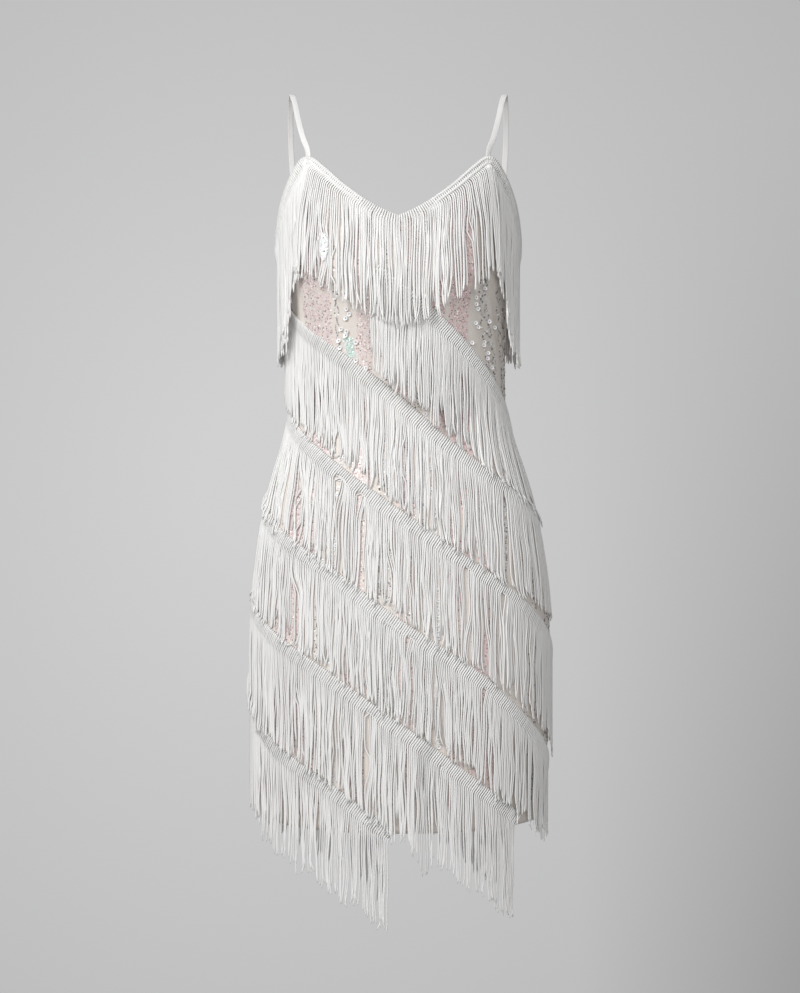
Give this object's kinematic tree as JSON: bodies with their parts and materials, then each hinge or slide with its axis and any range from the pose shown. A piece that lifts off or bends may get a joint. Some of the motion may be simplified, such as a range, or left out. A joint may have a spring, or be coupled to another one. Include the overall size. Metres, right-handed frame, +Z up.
{
  "type": "fringe dance dress",
  "caption": "Short dance dress on thin shoulder straps, V neck, sequin-striped stretch mesh with diagonal rows of hanging cord fringe, filled out as worn.",
  "frame": {"origin": "middle of the shoulder line, halfway between the tops of the two straps where the wearer's shoulders hold them", "axes": "+Z up, the dress's front faces -Y, +X is the wearer's left"},
  "size_m": [0.3526, 0.2426, 0.947],
  "materials": {
    "sequin_mesh": "nude stretch mesh with vertical bands of small pink, silver and white iridescent sequins",
    "cord": "off-white twisted rayon cords with a soft sheen",
    "header": "corded header band, the cords laid side by side across it",
    "strap": "flat white elastic ribbon, satin face"
  },
  "bodies": {
    "root": {"body_front": "sequin_mesh", "body_back": "sequin_mesh", "strap_left": "strap", "strap_right": "strap", "top_header_front": "header", "top_header_back": "header", "top_fringe_front": "cord", "top_fringe_back": "cord", "tier1_header_front": "header", "tier1_header_back": "header", "tier1_fringe_front": "cord", "tier1_fringe_back": "cord", "tier2_header_front": "header", "tier2_header_back": "header", "tier2_fringe_front": "cord", "tier2_fringe_back": "cord", "tier3_header_front": "header", "tier3_header_back": "header", "tier3_fringe_front": "cord", "tier3_fringe_back": "cord", "tier4_header_front": "header", "tier4_header_back": "header", "tier4_fringe_front": "cord", "tier4_fringe_back": "cord", "tier5_header_front": "header", "tier5_header_back": "header", "tier5_fringe_front": "cord", "tier5_fringe_back": "cord", "tier6_header_front": "header", "tier6_header_back": "header", "tier6_fringe_front": "cord", "tier6_fringe_back": "cord"}
  },
  "joints": []
}
